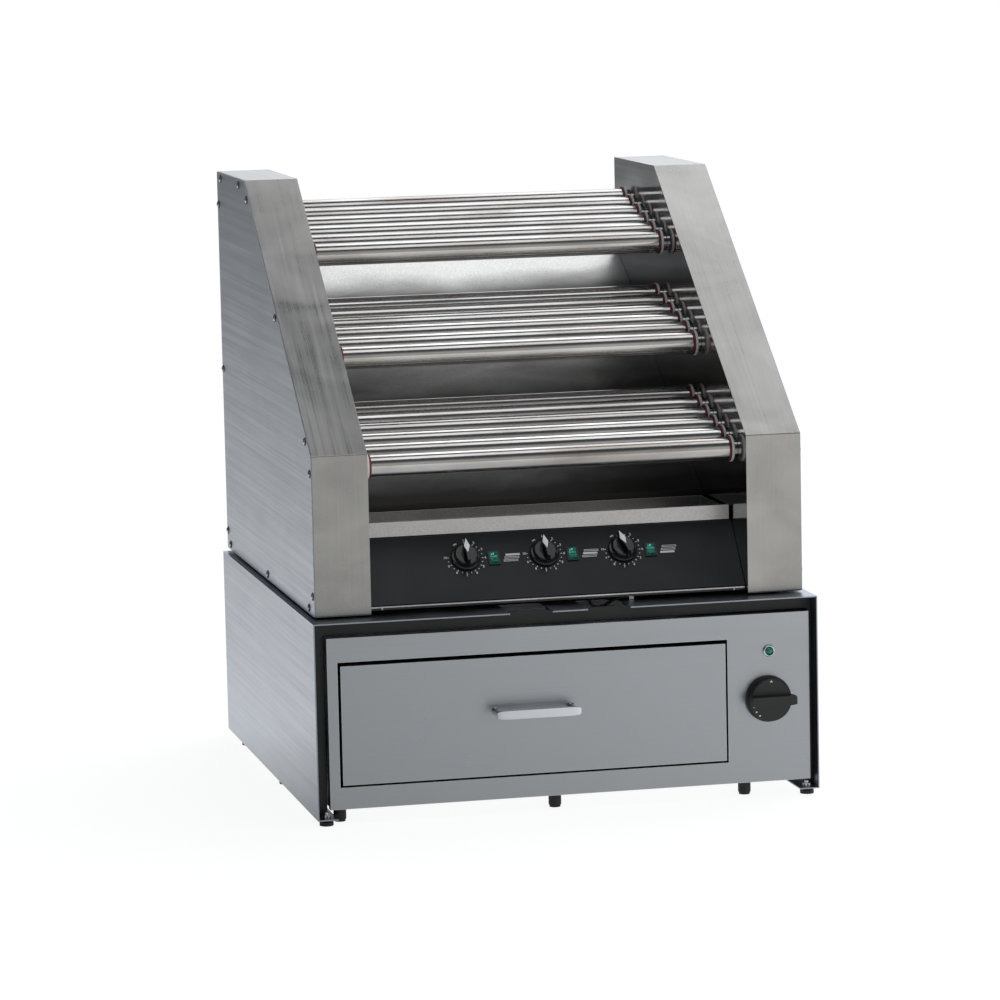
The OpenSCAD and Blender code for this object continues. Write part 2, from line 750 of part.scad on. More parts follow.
module roller(tier, i) {
    color(polished) place() at_roller(tier, i) difference() {
        union() {
            rod_x(-roller_half, roller_half, roller_d / 2);
            rod_x(-journal_left, journal_right, journal_r);
            sprocket(sprocket_x, journal_r + 0.6);
        }
        rod_x(-roller_half + 3, roller_half - 3, roller_d / 2 - roller_wall);
        rod_x(-journal_left - 1, journal_right + 1, rod_bore_r);
    }
}

module roller_bottom_1() { roller(0, 0); }
module roller_bottom_2() { roller(0, 1); }
module roller_bottom_3() { roller(0, 2); }
module roller_bottom_4() { roller(0, 3); }
module roller_bottom_5() { roller(0, 4); }
module roller_bottom_6() { roller(0, 5); }
module roller_middle_1() { roller(1, 0); }
module roller_middle_2() { roller(1, 1); }
module roller_middle_3() { roller(1, 2); }
module roller_middle_4() { roller(1, 3); }
module roller_middle_5() { roller(1, 4); }
module roller_middle_6() { roller(1, 5); }
module roller_top_1() { roller(2, 0); }
module roller_top_2() { roller(2, 1); }
module roller_top_3() { roller(2, 2); }
module roller_top_4() { roller(2, 3); }
module roller_top_5() { roller(2, 4); }
module roller_top_6() { roller(2, 5); }

// Flanged plain bearings in both inner walls, one at each end of every roller
module roller_bearings() {
    color(white_ptfe) place() mirrored_pair() for (tier = [0 : 2]) for (i = [0 : 5])
        at_roller(tier, i) difference() {
            union() {
                rod_x(bush_front, bush_front + bush_flange_t, bush_flange_r);
                rod_x(bush_front + bush_flange_t - eps, inner_wall, bearing_r + 1.5);
                rod_x(inner_wall - eps, inner_wall + 10, bearing_r);
            }
            rod_x(bush_front - 1, inner_wall + 12, journal_r + turn_gap);
        }
}

// Silicone ring between each roller's end and its bearing
module roller_seals() {
    x1 = bush_front;
    color(seal_red) place() mirrored_pair() for (tier = [0 : 2]) for (i = [0 : 5])
        at_roller(tier, i) difference() {
            rod_x(x1 - seal_t, x1, seal_r);
            rod_x(x1 - seal_t - 1, x1 + 1, journal_r + 0.3);
        }
}

// Fixed heating rods through the rollers, held by a strap at each end of a tier
rod_r = 4;
strap_left = inner_wall + 40;
strap_right = inner_wall + 54;
strap_t = 1.5;
strap_w = 22;
strap_over = 31;                     // from the last roller's centre to a strap's leg

module strap(x) {
    span = 5 * roller_pitch;
    rotate([tier_slope, 0, 0]) {
        difference() {
            box([x, -strap_over - 8, -strap_w / 2], [x + strap_t, span + strap_over + 8, strap_w / 2]);
            for (i = [0 : 5])
                translate([0, i * roller_pitch, 0]) rod_x(x - 1, x + strap_t + 1, rod_r + turn_gap);
        }
        for (y = [-strap_over, span + strap_over])
            translate([0, y, 0]) rod_x(inner_wall + plate_t, x + eps, 4);
    }
}

module heater_rods() {
    color(steel_dark) place() for (tier = [0 : 2]) {
        at_roller(tier, 0) {
            strap(strap_right);
            mirror([1, 0, 0]) strap(strap_left);
        }
        for (i = [0 : 5]) at_roller(tier, i) {
            rod_x(-strap_left - 8, strap_right + 6, rod_r);
            rod_x(-strap_left - 14, strap_right + 11, 1.6);
        }
    }
}

// Band round a tier's end sprockets and its gearmotor's sprocket
module chain_outline(tier, r) {
    corners = [roller_place(tier, 0), roller_place(tier, 5), motor_place(tier)];
    polygon(corners);
    for (k = [0 : 2]) {
        a = corners[k];
        b = corners[(k + 1) % 3];
        side = r * left_of(unit(b - a));
        translate(a) circle(r = r);
        polygon([a - side, b - side, b + side, a + side]);
    }
}

module drive_chains() {
    color(steel_dark) place() for (tier = [0 : 2])
        along_x(sprocket_x - chain_t / 2, sprocket_x + chain_t / 2) difference() {
            chain_outline(tier, chain_out_r);
            chain_outline(tier, chain_in_r);
        }
}

gearbox_x1 = inner_wall + 30;
shaft_r = 4;

module gearmotors() {
    x0 = inner_wall + plate_t + touch_gap;
    color(steel_dark) place() for (tier = [0 : 2]) at_motor(tier) difference() {
        union() {
            box([x0, -26, -24], [gearbox_x1, 34, 24]);
            rod_x(gearbox_x1 - eps, gearbox_x1 + 4, 8);
            translate([0, 54, -6]) rod_x(x0, gearbox_x1 + 8, 26);
            translate([0, 54, -6]) rod_x(gearbox_x1 + 8 - eps, gearbox_x1 + 11, 9);
        }
        rod_x(x0 + 8, gearbox_x1 + 5, shaft_r + turn_gap);
    }
}

module drive_sprocket(tier) {
    color(steel_dark) place() at_motor(tier) {
        rod_x(inner_wall + 12, sprocket_x + 6, shaft_r);
        sprocket(sprocket_x, 7);
    }
}

module drive_sprocket_bottom() { drive_sprocket(0); }
module drive_sprocket_middle() { drive_sprocket(1); }
module drive_sprocket_top() { drive_sprocket(2); }

// ---- Fasteners and the lead ------------------------------------------------

screw_r = 2;
screw_head_r = 4;
screw_head_h = 2.4;

// A pan-head screw from x = 0, its head towards -X
module pan_screw(length) {
    rod_x(-screw_head_h, 0, screw_head_r);
    rod_x(-eps, length, screw_r);
}

module cover_screws() {
    color(steel_dark) place() mirrored_pair() for (p = screw_places())
        translate([-grill_half_w, p.x, p.y]) pan_screw(7);
}

// Short lead under the control panel, from a gland in the grill's floor, down through the
// stand's right-hand notch and up to a clip
lead_r = 2;
lead_gland_h = 3;
lead_bend = 9;
lead_start = [44, 62, pan_z];
lead_turn = [lead_start.x + lead_bend, lead_start.y, 261];
lead_route = concat(
    [lead_start, [lead_start.x, lead_start.y, 263.5]],
    [for (a = [0 : 15 : 75])
        [lead_turn.x - lead_bend * cos(a), lead_turn.y, lead_turn.z - lead_bend * sin(a)]],
    [[57, 61.7, 252.2], [62, 61.2, 253.6], [67, 60.6, 256.2], [72, 60, 259.3],
     [76.5, 59.4, 261.6], [81, 58.9, 262.8], [87, 58.4, 263.1], [94, 58, 263]]);
lead_sides = 8;

function lead_along(i) =
    let (last = len(lead_route) - 1)
    unit(lead_route[min(i + 1, last)] - lead_route[max(i - 1, 0)]);

module lead_tube() {
    n = len(lead_route);
    rings = [for (i = [0 : n - 1])
        let (w = lead_along(i), a = unit(cross(w, [0, 1, 0])), b = cross(w, a))
        [for (k = [0 : lead_sides - 1])
            let (turn = 360 * k / lead_sides)
            lead_route[i] + lead_r * (cos(turn) * a + sin(turn) * b)]];
    function at(i, k) = i * lead_sides + k % lead_sides;
    polyhedron(points = [for (ring = rings) each ring], faces = concat(
        [[for (k = [0 : lead_sides - 1]) k]],
        [[for (k = [lead_sides - 1 : -1 : 0]) at(n - 1, k)]],
        [for (i = [0 : n - 2]) for (k = [0 : lead_sides - 1])
            [at(i, k), at(i + 1, k), at(i + 1, k + 1), at(i, k + 1)]]));
}

module control_lead() {
    first = lead_route[0];
    last = lead_route[len(lead_route) - 1];
    color(black) place() {
        lead_tube();
        translate([first.x, first.y, pan_z - lead_gland_h]) cylinder(h = lead_gland_h, r = 5);
        box([last.x, last.y - 4, last.z - 2.6], [last.x + 6, last.y + 4, pan_z]);
    }
}

stand_cover();
stand_face_frame();
feet();
warmer_cabinet();
warmer_front();
drawer_runners();
warmer_heater();
warmer_lamp_bezel();
warmer_lamp_lens();
drawer_front();
drawer_tub();
drawer_handle();
warmer_knob();
left_wrap();
right_wrap();
left_side_cover();
right_side_cover();
left_bearing_plate();
right_bearing_plate();
back_panel();
base_pan();
deflectors();
control_panel();
drip_tray();
thermostats();
switch_bezels();
heat_knob_bottom();
heat_knob_middle();
heat_knob_top();
rocker_bottom();
rocker_middle();
rocker_top();
roller_bearings();
roller_seals();
heater_rods();
drive_chains();
gearmotors();
drive_sprocket_bottom();
drive_sprocket_middle();
drive_sprocket_top();
roller_bottom_1();
roller_bottom_2();
roller_bottom_3();
roller_bottom_4();
roller_bottom_5();
roller_bottom_6();
roller_middle_1();
roller_middle_2();
roller_middle_3();
roller_middle_4();
roller_middle_5();
roller_middle_6();
roller_top_1();
roller_top_2();
roller_top_3();
roller_top_4();
roller_top_5();
roller_top_6();
cover_screws();
control_lead();
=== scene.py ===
"""Looks of the three-tier hot dog roller grill on its bun warmer stand.

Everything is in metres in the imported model's own frame: +X to the operator's right, +Y to the
back, +Z up. Sizes of the new pieces are given in millimetres and scaled by MM.
"""

import json
import math

import bmesh
import bpy
from mathutils import Matrix, Vector


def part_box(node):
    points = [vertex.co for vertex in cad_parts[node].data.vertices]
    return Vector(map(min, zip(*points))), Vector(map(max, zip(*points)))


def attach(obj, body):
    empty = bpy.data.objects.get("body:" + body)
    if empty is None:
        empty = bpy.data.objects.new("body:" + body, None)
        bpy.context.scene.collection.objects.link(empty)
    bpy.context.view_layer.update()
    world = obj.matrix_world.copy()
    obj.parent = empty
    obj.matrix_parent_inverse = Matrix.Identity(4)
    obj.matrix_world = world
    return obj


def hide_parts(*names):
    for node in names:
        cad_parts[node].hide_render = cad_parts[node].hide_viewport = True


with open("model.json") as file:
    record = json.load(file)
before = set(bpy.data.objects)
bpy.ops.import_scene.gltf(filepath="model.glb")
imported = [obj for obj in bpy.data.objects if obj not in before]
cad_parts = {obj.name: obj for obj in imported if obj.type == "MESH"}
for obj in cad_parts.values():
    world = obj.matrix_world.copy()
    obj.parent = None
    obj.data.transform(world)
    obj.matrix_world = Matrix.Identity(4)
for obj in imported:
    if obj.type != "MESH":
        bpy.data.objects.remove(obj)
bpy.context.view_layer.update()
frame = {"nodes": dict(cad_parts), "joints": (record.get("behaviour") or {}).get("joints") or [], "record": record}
NODES = frame["nodes"]
JOINTS = {j["name"]: j for j in frame["joints"]}
BODY_OF = {n: b for b, group in frame["record"]["behaviour"]["bodies"].items() for n in group}
SLOT_OF = {}

MM = 0.001
WELD = 2e-6  # corners closer than this many metres are one corner
FLAT = math.radians(0.4)  # faces that turn less than this are one face
FRONT_TO_ORIGIN = 334.0  # from the stand's front edge back to the frame's origin
TIERS = ("bottom", "middle", "top")
ROLLERS_PER_TIER = 6
scene = bpy.context.scene


# ---- Camera and lamps -------------------------------------------------------

AZIMUTH, ELEVATION, ROLL = math.radians(-12.80), math.radians(7.72), math.radians(-1.245)
TARGET = Vector((-0.0291, -0.084, 0.3711))
DISTANCE = 6.038
SENSOR = 36.0
LENS = 4.576 * SENSOR


def make_camera():
    """The photograph's view: its angles, and a focal length solved from the sheets' corners."""
    back = Vector((math.sin(AZIMUTH) * math.cos(ELEVATION),
                   -math.cos(AZIMUTH) * math.cos(ELEVATION), math.sin(ELEVATION)))
    right = Vector((0, 0, 1)).cross(back).normalized()
    up = back.cross(right)
    turned_right = math.cos(ROLL) * right + math.sin(ROLL) * up
    turned_up = math.cos(ROLL) * up - math.sin(ROLL) * right
    camera = bpy.data.objects.new("camera", bpy.data.cameras.new("camera"))
    scene.collection.objects.link(camera)
    facing = Matrix((turned_right, turned_up, back)).transposed().to_4x4()
    camera.matrix_world = Matrix.Translation(TARGET + DISTANCE * back) @ facing
    camera.data.sensor_width = SENSOR
    camera.data.lens = LENS
    camera.data.clip_end = 200.0
    scene.camera = camera


def area_light(name, place, aim, size, power):
    """A soft white rectangular light at place that shines towards aim."""
    data = bpy.data.lights.new(name, "AREA")
    data.shape = "RECTANGLE"
    data.size, data.size_y = size
    data.energy = power
    light = bpy.data.objects.new(name, data)
    scene.collection.objects.link(light)
    light.location = place
    light.rotation_mode = "QUATERNION"
    light.rotation_quaternion = (Vector(aim) - Vector(place)).to_track_quat("-Z", "Y")


# ---- Materials --------------------------------------------------------------

class Nodes:
    """A node tree built in short calls: each method returns the socket that it adds."""

    def __init__(self, tree):
        self.tree = tree

    def node(self, kind, inputs=(), **settings):
        made = self.tree.nodes.new("ShaderNode" + kind)
        for key, value in settings.items():
            setattr(made, key, value)
        for key, value in dict(inputs).items():
            if isinstance(value, bpy.types.NodeSocket):
                self.tree.links.new(value, made.inputs[key])
            else:
                made.inputs[key].default_value = value
        return made

    def where(self, scale=(1, 1, 1)):
        """The point on the object, stretched: a small scale draws grain out along that axis."""
        place = self.node("TexCoord").outputs["Object"]
        return self.node("Mapping", {"Vector": place, "Scale": scale}).outputs["Vector"]

    def noise(self, scale, detail=3.0, stretch=(1, 1, 1), distortion=0.0):
        made = self.node("TexNoise", {"Vector": self.where(stretch), "Scale": scale,
                                      "Detail": detail, "Distortion": distortion})
        return made.outputs["Fac"]

    def ramp(self, value, low, high, to_low=0.0, to_high=1.0):
        return self.node("MapRange", {"Value": value, "From Min": low, "From Max": high,
                                      "To Min": to_low, "To Max": to_high}).outputs["Result"]

    def math(self, kind, a, b):
        made = self.node("Math", operation=kind)
        for socket, value in zip(made.inputs, (a, b)):
            if isinstance(value, bpy.types.NodeSocket):
                self.tree.links.new(value, socket)
            else:
                socket.default_value = value
        return made.outputs[0]

    def mix(self, share, a, b):
        made = self.node("Mix", data_type="RGBA")
        for key, value in (("Factor", share), ("A", a), ("B", b)):
            socket = next(s for s in made.inputs if s.name == key and s.enabled)
            if isinstance(value, bpy.types.NodeSocket):
                self.tree.links.new(value, socket)
            else:
                socket.default_value = value if key == "Factor" else (*value, 1.0)
        return next(s for s in made.outputs if s.enabled)


class Shader(Nodes):
    """A procedural material on the Principled shader."""

    def __init__(self, name, **values):
        self.material = bpy.data.materials.new(name)
        self.material.use_nodes = True
        super().__init__(self.material.node_tree)
        self.bsdf = self.tree.nodes["Principled BSDF"]
        for socket, value in values.items():
            self.bsdf.inputs[socket.replace("_", " ")].default_value = value

    def set(self, socket, value):
        self.tree.links.new(value, self.bsdf.inputs[socket])

    def bump(self, height, strength, distance):
        made = self.node("Bump", {"Height": height, "Strength": strength, "Distance": distance})
        self.set("Normal", made.outputs["Normal"])


FINE = 0.0004  # depth of fine relief, in metres
MILL_GRAIN = 700.0
MILL_RELIEF = (0.14, 0.0005)
# Painted shade: the near-black that the sheets under the rollers fall to towards each lower edge, where the tier
# in front shades them.
PAINTED_SHADE_TONE = (0.085, 0.083, 0.08)
# The Y of the front and back edge of the sheet under each tier.
SHEET_ENDS = ((-0.086, 0.079), (0.080, 0.257), (0.258, 0.357))


def brushed(name, dark, light, rough, grain, smudge, bump, cloud=0.06):
    """Brushed sheet: fine streaks along the axis where grain is small, and soft hand marks.

    Smudge is the marks' share of the colour, and cloud how far they change the roughness.
    """
    s = Shader(name, Metallic=1.0)
    streaks = s.noise(1.0, 2.0, grain)
    marks = s.noise(9.0, 4.0, (1.0, 1.0, 1.6), 0.8)
    tone = s.math("ADD", s.math("MULTIPLY", s.ramp(streaks, 0.3, 0.7), 1 - smudge),
                  s.math("MULTIPLY", s.ramp(marks, 0.35, 0.68), smudge))
    s.set("Base Color", s.mix(tone, dark, light))
    wobble = s.math("ADD", s.ramp(streaks, 0.2, 0.8, -0.06, 0.06),
                    s.ramp(marks, 0.3, 0.7, -cloud, cloud))
    s.set("Roughness", s.math("ADD", wobble, rough))
    s.bump(streaks, bump, FINE)
    return s.material


def speckled(name, dark, light, rough):
    """Mill-finish sheet: a very fine sparkle with broad, soft clouds."""
    s = Shader(name, Metallic=1.0)
    grain = s.noise(MILL_GRAIN, 2.0)
    clouds = s.noise(7.0, 3.0, (1.0, 1.6, 1.6), 0.5)
    tone = s.math("ADD", s.math("MULTIPLY", grain, 0.6), s.math("MULTIPLY", clouds, 0.4))
    s.set("Base Color", s.mix(s.ramp(tone, 0.35, 0.65), dark, light))
    s.set("Roughness", s.ramp(clouds, 0.3, 0.7, rough - 0.05, rough + 0.07))
    s.bump(grain, *MILL_RELIEF)
    return s.material


def painted_shade_sheet(name, dark, light, rough):
    """The sheets under the rollers: mill finish, darkened towards each lower edge as painted shade."""
    s = Shader(name, Metallic=1.0)
    grain = s.noise(MILL_GRAIN, 2.0)
    clouds = s.noise(7.0, 4.0, (0.7, 1.6, 1.6), 0.7)
    y = s.node("SeparateXYZ", {"Vector": s.node("TexCoord").outputs["Object"]}).outputs["Y"]
    up = s.ramp(y, *SHEET_ENDS[0])
    for (low, high), (_, before) in zip(SHEET_ENDS[1:], SHEET_ENDS):
        here = s.math("SUBTRACT", s.ramp(y, low, high), s.math("GREATER_THAN", y, before))
        up = s.math("ADD", up, here)
    up = s.math("ADD", up, s.ramp(clouds, 0.3, 0.7, -0.12, 0.12))
    unshaded = s.mix(s.ramp(grain, 0.35, 0.65), dark, light)
    # Painted shade: each sheet's colour falls to near-black towards its lower edge, with a soft, cloudy boundary.
    s.set("Base Color", s.mix(s.ramp(up, 0.12, 0.62), PAINTED_SHADE_TONE, unshaded))
    s.set("Roughness", s.ramp(up, 0.1, 0.8, rough + 0.12, rough))
    s.bump(grain, *MILL_RELIEF)
    return s.material


def turned(name, dark, light, rough):
    """Polished tube: rings of very fine polishing marks round X and a few cooking stains."""
    s = Shader(name, Metallic=1.0)
    rings = s.noise(1.0, 3.0, (520.0, 14.0, 14.0))
    stains = s.noise(14.0, 5.0, (0.35, 1.4, 1.4), 0.6)
    s.set("Base Color", s.mix(s.ramp(stains, 0.35, 0.75), light, dark))
    wobble = s.math("ADD", s.ramp(rings, 0.3, 0.7, -0.03, 0.03),
                    s.ramp(stains, 0.4, 0.8, 0.0, 0.08))
    s.set("Roughness", s.math("ADD", wobble, rough))
    s.bump(rings, 0.03, 0.0003)
    return s.material


def painted(name, dark, light, rough, grain=420.0, bump=0.06, specular=0.5):
    """Paint or moulded plastic: a fine orange-peel or texture, with dusty and rubbed places."""
    s = Shader(name, Specular_IOR_Level=specular)
    peel = s.noise(grain, 2.0)
    dust = s.noise(16.0, 5.0, (1, 1, 1), 0.4)
    s.set("Base Color", s.mix(s.ramp(dust, 0.35, 0.75), dark, light))
    s.set("Roughness", s.ramp(dust, 0.3, 0.75, rough - 0.04, rough + 0.10))
    s.bump(peel, bump, FINE)
    return s.material


def lens(name, dark, light, glow):
    """Tinted, slightly lit plastic with moulded ribs inside."""
    s = Shader(name, Roughness=0.12, Coat_Weight=0.6, Coat_Roughness=0.05,
               Emission_Strength=glow)
    ribs = s.noise(260.0, 1.0)
    colour = s.mix(s.ramp(ribs, 0.35, 0.65), dark, light)
    s.set("Base Color", colour)
    s.set("Emission Color", colour)
    s.bump(ribs, 0.10, FINE)
    return s.material


MATERIALS = {
    "stand_steel": brushed("stand_steel", (0.315, 0.35, 0.395), (0.35, 0.385, 0.43), 0.33,
                           (30.0, 2.0, 300.0), 0.45, 0.015, 0.015),
    "grill_steel": brushed("grill_steel", (0.32, 0.317, 0.305), (0.46, 0.455, 0.435), 0.31,
                           (300.0, 4.0, 4.0), 0.7, 0.02, 0.03),
    "warmer_steel": brushed("warmer_steel", (0.385, 0.41, 0.43), (0.435, 0.46, 0.48), 0.34,
                            (3.0, 30.0, 320.0), 0.6, 0.02),
    "tray_steel": speckled("tray_steel", (0.38, 0.375, 0.365), (0.57, 0.56, 0.545), 0.30),
    "wall_steel": brushed("wall_steel", (0.42, 0.42, 0.42), (0.52, 0.52, 0.51), 0.11,
                          (30.0, 2.0, 300.0), 0.5, 0.01),
    "roller_steel": turned("roller_steel", (0.36, 0.335, 0.31), (0.66, 0.65, 0.635), 0.15),
    "handle_chrome": turned("handle_chrome", (0.58, 0.595, 0.62), (0.74, 0.76, 0.79), 0.09),
    # The sheets under the rollers, with painted shade towards each lower edge.
    "painted_shade_steel": painted_shade_sheet("painted_shade_steel", (0.40, 0.395, 0.385), (0.62, 0.615, 0.60), 0.28),
    # Pale steel for the rounded edges of sheets: a painted highlight.
    "highlight_edge_steel": speckled("highlight_edge_steel", (0.74, 0.745, 0.75), (0.90, 0.905, 0.91), 0.38),
    # Near-black steel: painted shade for faces that look down and for the base pan's lip.
    "shade_black_steel": speckled("shade_black_steel", (0.05, 0.047, 0.043), (0.12, 0.115, 0.105), 0.42),
    "hidden_steel": speckled("hidden_steel", (0.25, 0.26, 0.27), (0.40, 0.41, 0.42), 0.45),
    "screw_steel": speckled("screw_steel", (0.38, 0.38, 0.39), (0.66, 0.66, 0.67), 0.22),
    "black_paint": painted("black_paint", (0.006, 0.010, 0.014), (0.012, 0.017, 0.023), 0.35,
                           specular=0.33),
    "black_frame": painted("black_frame", (0.006, 0.007, 0.008), (0.012, 0.013, 0.015), 0.42),
    "knob_plastic": painted("knob_plastic", (0.006, 0.007, 0.008), (0.013, 0.014, 0.016), 0.17),
    "switch_plastic": painted("switch_plastic", (0.007, 0.008, 0.009), (0.013, 0.014, 0.015), 0.30),
    "green_lens": lens("green_lens", (0.0, 0.085, 0.065), (0.005, 0.26, 0.20), 0.22),
    "foot_rubber": painted("foot_rubber", (0.009, 0.009, 0.010), (0.020, 0.020, 0.021), 0.55),
    "seal_silicone": painted("seal_silicone", (0.16, 0.012, 0.022), (0.26, 0.03, 0.045), 0.42),
    "bearing_ptfe": painted("bearing_ptfe", (0.84, 0.83, 0.80), (0.95, 0.94, 0.92), 0.38),
    "lead_rubber": painted("lead_rubber", (0.010, 0.010, 0.011), (0.022, 0.022, 0.023), 0.48),
    "print_white": painted("print_white", (0.88, 0.88, 0.87), (0.97, 0.97, 0.96), 0.50),
    "knob_matt": painted("knob_matt", (0.010, 0.011, 0.012), (0.024, 0.025, 0.027), 0.42,
                         300.0, 0.10),
    # Pale, glowing green for the bars on each rocker: a painted highlight.
    "mark_green": lens("mark_green", (0.16, 0.55, 0.45), (0.45, 0.85, 0.75), 0.35),
    "inlay_metal": speckled("inlay_metal", (0.50, 0.52, 0.54), (0.70, 0.72, 0.74), 0.35),
}

for node_name, node_object in NODES.items():
    slots = node_object.material_slots
    SLOT_OF[node_name] = slots[0].material.name.split(".")[0]
    for entry in slots:
        entry.material = MATERIALS[SLOT_OF[node_name]]


# ---- Mesh helpers -----------------------------------------------------------

def finish_mesh(bm, name, material, smooth_angle=38.0):
    """An object from a bmesh, shaded smooth except where it turns more sharply than the angle."""
    mesh = bpy.data.meshes.new(name)
    bmesh.ops.recalc_face_normals(bm, faces=bm.faces)
    bm.to_mesh(mesh)
    bm.free()
    for polygon in mesh.polygons:
        polygon.use_smooth = True
    mesh.set_sharp_from_angle(angle=math.radians(smooth_angle))
    mesh.materials.append(MATERIALS[material])
    made = bpy.data.objects.new(name, mesh)
    scene.collection.objects.link(made)
    even = made.modifiers.new("even_shading", "WEIGHTED_NORMAL")
    even.keep_sharp = True
    return made


def round_edges(bm, width, segments=2, angle=30.0):
    """Rounds every edge that turns more sharply than the angle, and gives the new faces."""
    crisp = [e for e in bm.edges
             if len(e.link_faces) == 2 and e.calc_face_angle(0.0) > math.radians(angle)]
    made = bmesh.ops.bevel(bm, geom=crisp, offset=width * MM, segments=segments, profile=0.5,
                           affect="EDGES", clamp_overlap=True)
    return made["faces"]


def disc(x, y, radius, sides=16):
    return [(x + radius * math.cos(math.tau * k / sides),
             y + radius * math.sin(math.tau * k / sides)) for k in range(sides)]


def turn(bm, place, profile, sides=48):
    """A turned solid from (radius, height) pairs, its axis along the place's Z."""
    rings = []
    for radius, height in profile:
        circle = disc(0, 0, radius, sides)[:1 if radius == 0 else sides]
        rings.append([bm.verts.new(place @ (MM * Vector((x, y, height)))) for x, y in circle])
    for low, high in zip(rings, rings[1:]):
        for k in range(sides):
            loop = dict.fromkeys((low[k % len(low)], low[(k + 1) % len(low)],
                                  high[(k + 1) % len(high)], high[k % len(high)]))
            if len(loop) > 2:
                bm.faces.new(loop)


def loft(bm, place, sections):
    """A solid through sections of equally many points, its first and last ones capped."""
    rings = [[bm.verts.new(place @ (MM * Vector(point))) for point in section]
             for section in sections]
    count = len(rings[0])
    for low, high in zip(rings, rings[1:]):
        for k in range(count):
            bm.faces.new((low[k], low[(k + 1) % count], high[(k + 1) % count], high[k]))
    bm.faces.new(rings[0])
    bm.faces.new(rings[-1])


def slab(bm, place, outline, z0, z1):
    """A flat plate from an outline of (x, y) points."""
    loft(bm, place, [[(x, y, z) for x, y in outline] for z in (z0, z1)])


def oblong(x0, x1, y0, y1):
    return [(x0, y0), (x1, y0), (x1, y1), (x0, y1)]


def merge(bm, other):
    """Moves everything in the other bmesh into this one."""
    spare = bpy.data.meshes.new("spare")
    other.to_mesh(spare)
    other.free()
    bm.from_mesh(spare)
    bpy.data.meshes.remove(spare)


def shift(x, y, z):
    return Matrix.Translation(MM * Vector((x, y, z)))


def turned_by(degrees, axis):
    return Matrix.Rotation(math.radians(degrees), 4, axis)


def refine(node, width, segments=2, angle=30.0, highlight_edges=False):
    """Stands for a CAD node: a copy with its crisp corners rounded, perhaps with a painted highlight on them."""
    bm = bmesh.new()
    bm.from_mesh(NODES[node].data)
    bmesh.ops.remove_doubles(bm, verts=bm.verts, dist=WELD)
    bmesh.ops.dissolve_limit(bm, angle_limit=FLAT, verts=bm.verts, edges=bm.edges)
    # The rounded faces may take the pale steel of the painted highlight.
    for face in round_edges(bm, width, segments, angle):
        face.material_index = int(highlight_edges)
    made = finish_mesh(bm, "shaped_" + node, SLOT_OF[node])
    if highlight_edges:
        made.data.materials.append(MATERIALS["highlight_edge_steel"])
    return stand_for(made, node)


LOOKS_DOWN = -0.3


def paint_sheet_shade(piece):
    """Painted shade: the sheets' tops darken towards each lower edge, and every face that looks down is
    near-black.
    """
    piece.data.materials[0] = MATERIALS["painted_shade_steel"]
    piece.data.materials.append(MATERIALS["shade_black_steel"])
    for polygon in piece.data.polygons:
        if polygon.normal.z < LOOKS_DOWN:
            polygon.material_index = 1


def stand_for(piece, node):
    """Puts a piece in a CAD node's place and on its body."""
    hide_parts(node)
    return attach(piece, BODY_OF[node])


def add_piece(bm, name, material, body, smooth_angle=38.0):
    """A detail that stands for no CAD node, in the finish of the slot it is most like."""
    made = finish_mesh(bm, name, material, smooth_angle)
    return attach(made, body)


make_camera()


# ---- Floor and studio -------------------------------------------------------

FLOOR_SIZE = 60.0
FLOOR_GREY = (0.22, 0.22, 0.22, 1.0)
FLOOR_SEEN = 0.90
LEFT_BEHIND = 0.64
DARK_CEILING = (0.065, 0.073, 0.085)
BACK_WALL = (1.28, 1.33, 1.40)
FRONT_WALL = (0.95, 0.93, 0.89)
WHITE = (1.0, 1.0, 1.0, 1.0)


def make_floor():
    """A pale floor, even where it is seen directly.

    What the steel reflects of it brightens to the right, fades to the back, and is bright again
    to the left behind the object: it does the work of a studio's reflector cards.
    """
    bm = bmesh.new()
    bmesh.ops.create_grid(bm, x_segments=1, y_segments=1, size=FLOOR_SIZE)
    shader = Shader("floor", Roughness=0.9, Base_Color=FLOOR_GREY, Emission_Color=WHITE)
    point = shader.node("TexCoord").outputs["Object"]
    split = shader.node("SeparateXYZ", {"Vector": point}).outputs
    across = shader.ramp(split["X"], -0.7, 1.5, 0.34, 1.0)
    depth = shader.ramp(split["Y"], -0.4, 3.0, 1.0, 0.35)
    near = shader.ramp(split["X"], -2.6, -0.9, 0.0, 1.0)
    behind = shader.ramp(split["Y"], -0.3, 0.3)
    left = shader.math("MULTIPLY", shader.math("MULTIPLY", near, behind), LEFT_BEHIND)
    reflected = shader.math("ADD", shader.math("MULTIPLY", across, depth), left)
    seen = shader.node("LightPath").outputs["Is Camera Ray"]
    strength = shader.node("Mix", {"Factor": seen, "A": reflected, "B": FLOOR_SEEN},
                           data_type="FLOAT")
    shader.set("Emission Strength", strength.outputs["Result"])
    MATERIALS["floor"] = shader.material
    finish_mesh(bm, "floor", "floor")


